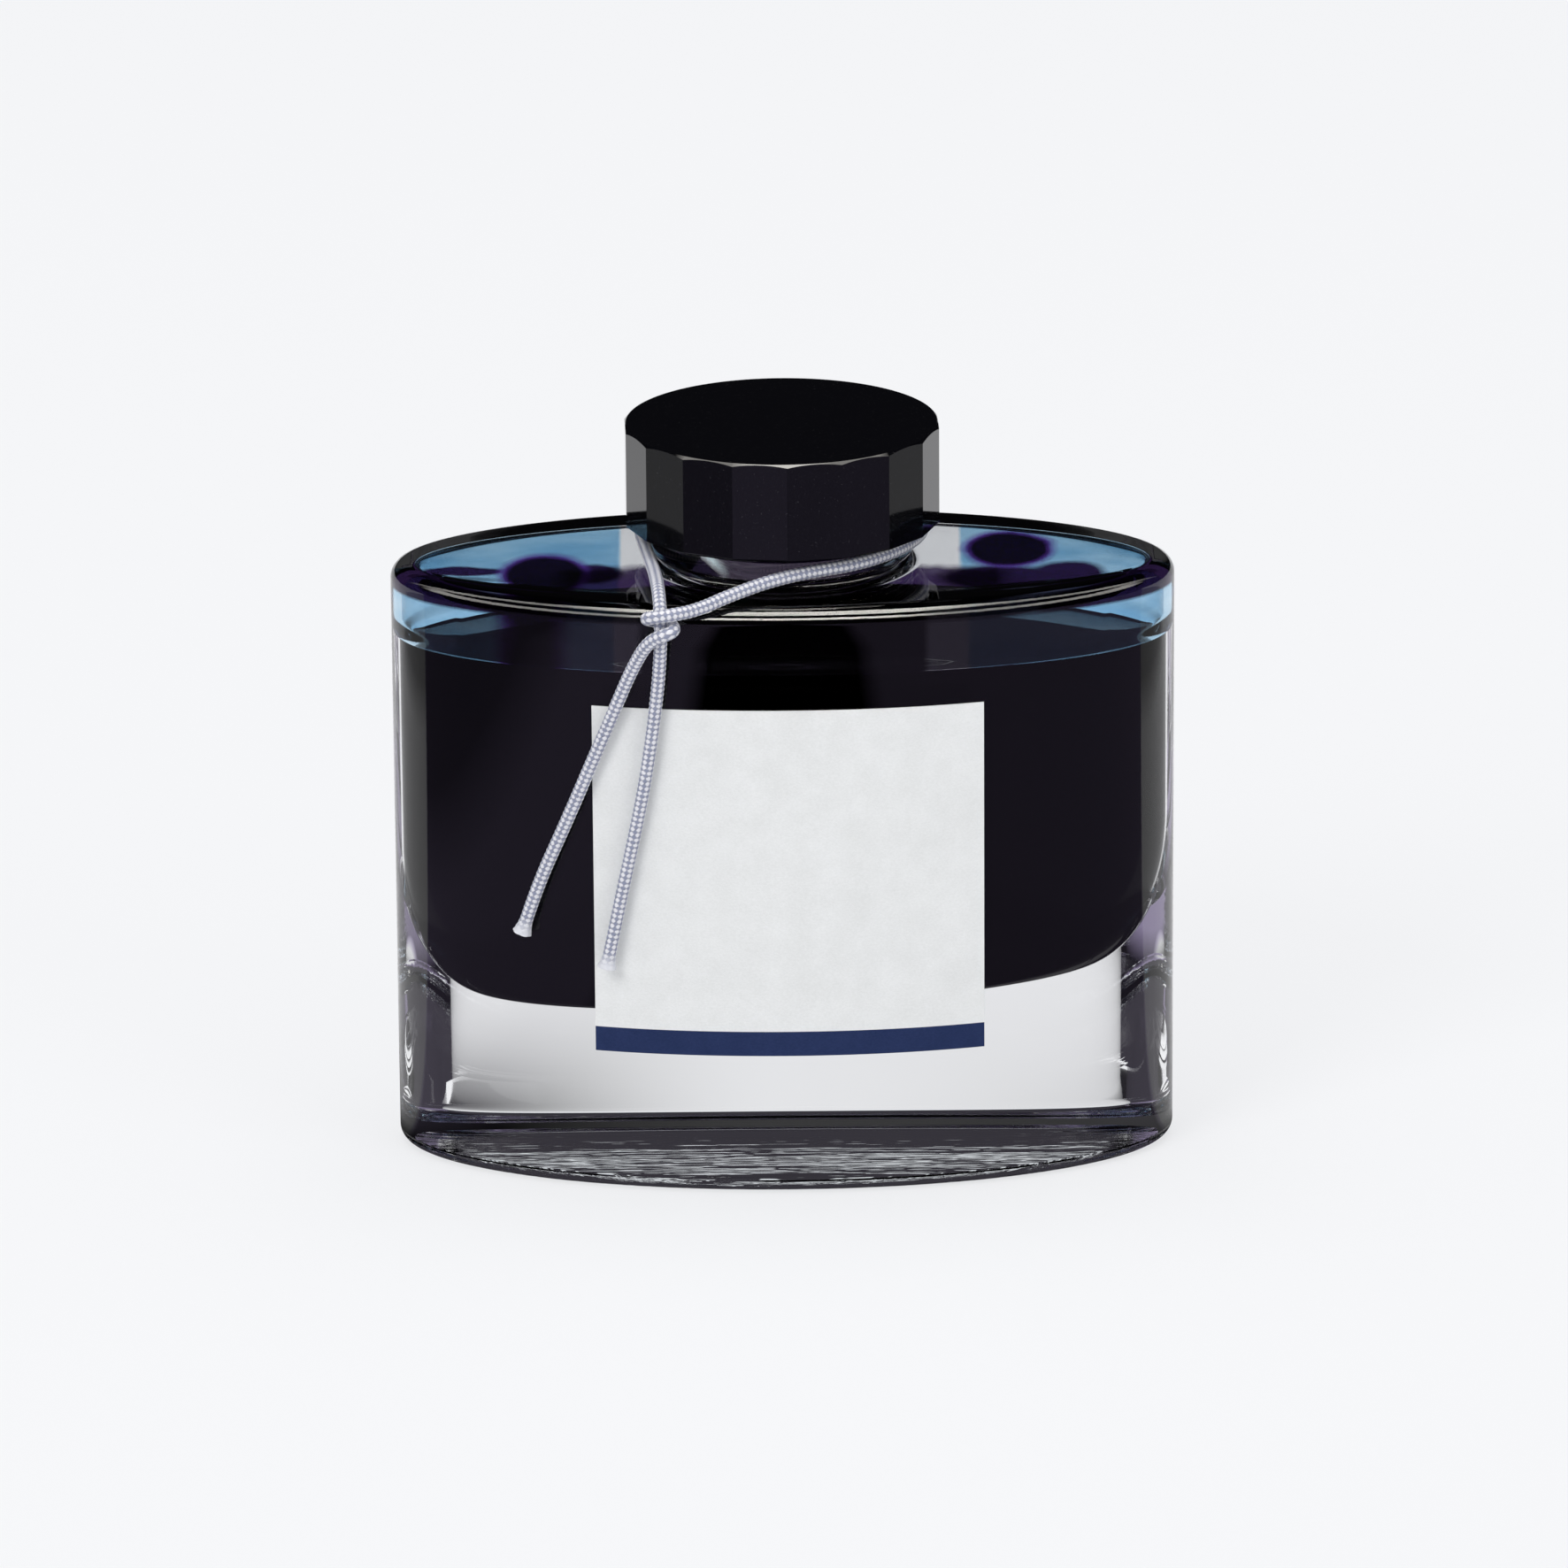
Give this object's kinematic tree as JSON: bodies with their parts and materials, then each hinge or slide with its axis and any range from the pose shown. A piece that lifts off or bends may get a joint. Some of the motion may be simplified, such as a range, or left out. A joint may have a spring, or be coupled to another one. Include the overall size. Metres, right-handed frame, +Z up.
{
  "type": "ink bottle",
  "caption": "Oval thick-walled glass ink bottle with a faceted screw cap, a paper label and a thin braided cord tied round its neck.",
  "frame": {"origin": "centre of the base, on the surface that the bottle stands on", "axes": "+X along the long axis of the oval, towards the right seen from the front; -Y towards the labelled front; +Z up, along the neck and the cap's thread"},
  "size_m": [0.08, 0.0407, 0.0768],
  "materials": {
    "clear_glass": "fire-polished, clear, very smooth",
    "ink": "dark blue-black liquid ink seen through glass",
    "label_paper": "matt uncoated white paper with a dark blue band along the bottom",
    "black_cap": "polished black",
    "cap_liner": "moulded, satin black",
    "seal_foam": "soft closed-cell liner",
    "braided_cord": "tight round braid of white and blue-grey yarn"
  },
  "bodies": {
    "bottle": {"glass_bottle": "clear_glass", "ink_fill": "ink", "front_label": "label_paper", "neck_cord": "braided_cord"},
    "seal": {"seal_wad": "seal_foam"},
    "cap": {"cap_shell": "black_cap", "cap_insert": "cap_liner"}
  },
  "joints": [
    {"name": "cap_lift", "type": "slide", "parent": "bottle", "child": "seal", "axis": [0, 0, 1], "range_m": [0, 0.0045]},
    {"name": "cap_turn", "type": "hinge", "parent": "seal", "child": "cap", "pos_m": [0, 0, 0.07], "axis": [0, 0, 1], "range_deg": [0, 540]}
  ],
  "couplings": [
    {"joint": "cap_lift", "follows": "cap_turn", "m_per_rad": 0.000477}
  ]
}
